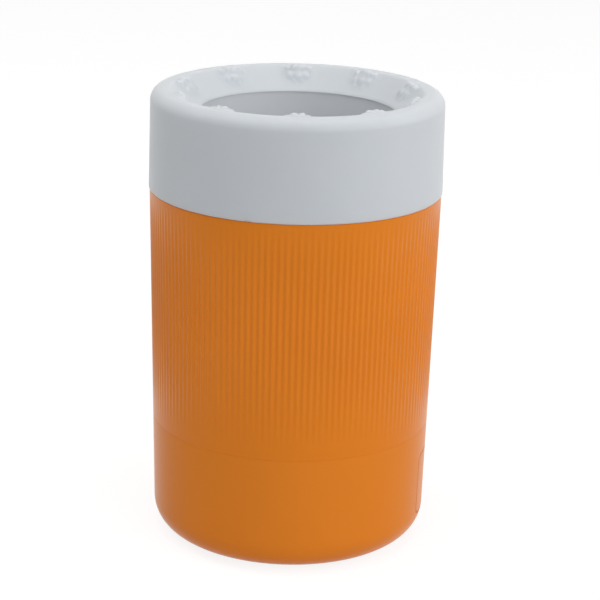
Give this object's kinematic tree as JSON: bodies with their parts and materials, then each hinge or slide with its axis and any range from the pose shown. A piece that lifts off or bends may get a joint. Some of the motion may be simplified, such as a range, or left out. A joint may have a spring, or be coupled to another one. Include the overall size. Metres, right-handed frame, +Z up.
{
  "type": "insulated beverage can cooler",
  "caption": "Double-walled can cooler: white collar with dished rim and ice-like nubs over a ribbed orange body, on a rounded base with a battery hatch.",
  "frame": {"origin": "on the surface it stands on, under the middle of the body", "axes": "+Z up along the axis of the can well, +X towards the battery hatch, -Y towards the front"},
  "size_m": [0.106, 0.106, 0.1669],
  "materials": {
    "orange_shell": "satin moulded plastic",
    "white_shell": "satin moulded plastic",
    "inner_plastic": "as moulded",
    "foam": "closed-cell foam",
    "grey_rubber": "soft matte",
    "black_rubber": "conductive, matte",
    "black_plastic": "as moulded",
    "spring_steel": "bright drawn wire",
    "screw_steel": "zinc plated",
    "cell_steel": "nickel plated",
    "board_green": "solder mask",
    "black_resin": "epoxy",
    "capacitor_sleeve": "shrink sleeve",
    "speaker_steel": "pressed steel",
    "magnet_ferrite": "ferrite",
    "cone_film": "thin film",
    "red_lead": "wire insulation",
    "black_lead": "wire insulation",
    "yellow_lead": "wire insulation"
  },
  "bodies": {
    "base": {"base_shell": "orange_shell", "body_shell": "orange_shell", "bulkhead": "inner_plastic", "liner": "white_shell", "foam_sleeve": "foam", "collar_seal": "grey_rubber", "trigger_boot": "grey_rubber", "plunger_spring": "spring_steel", "foot_plugs": "grey_rubber", "base_screws": "screw_steel", "battery_box": "black_plastic", "cells": "cell_steel", "contact_spring": "spring_steel", "contact_plate": "cell_steel", "circuit_board": "board_green", "board_screws": "screw_steel", "sound_chip": "black_resin", "capacitor": "capacitor_sleeve", "speaker_frame": "speaker_steel", "speaker_magnet": "magnet_ferrite", "speaker_cone": "cone_film", "switch_body": "speaker_steel", "battery_leads": "red_lead", "speaker_leads": "black_lead", "switch_leads": "yellow_lead"},
    "collar": {"collar": "white_shell"},
    "hatch": {"hatch": "orange_shell"},
    "hatch_screw": {"hatch_screw": "screw_steel"},
    "trigger": {"plunger": "inner_plastic", "contact_pill": "black_rubber"},
    "slider": {"switch_slider": "black_plastic"}
  },
  "joints": [
    {"name": "collar_lift", "type": "slide", "parent": "base", "child": "collar", "axis": [0, 0, 1], "range_m": [0, 0.05]},
    {"name": "hatch_lift", "type": "slide", "parent": "base", "child": "hatch", "axis": [1, 0, 0], "range_m": [0, 0.03]},
    {"name": "hatch_screw_turn", "type": "hinge", "parent": "hatch", "child": "hatch_screw", "pos_m": [0.048, 0, 0.02915], "axis": [1, 0, 0], "continuous": true},
    {"name": "plunger_press", "type": "slide", "parent": "base", "child": "trigger", "axis": [0, 0, -1], "range_m": [0, 0.0015], "stiffness_N_per_m": 250, "springref_m": -0.003, "deforming": ["plunger_spring", "trigger_boot"]},
    {"name": "switch_slide", "type": "slide", "parent": "base", "child": "slider", "axis": [1, 0, 0], "range_m": [0, 0.002]}
  ]
}
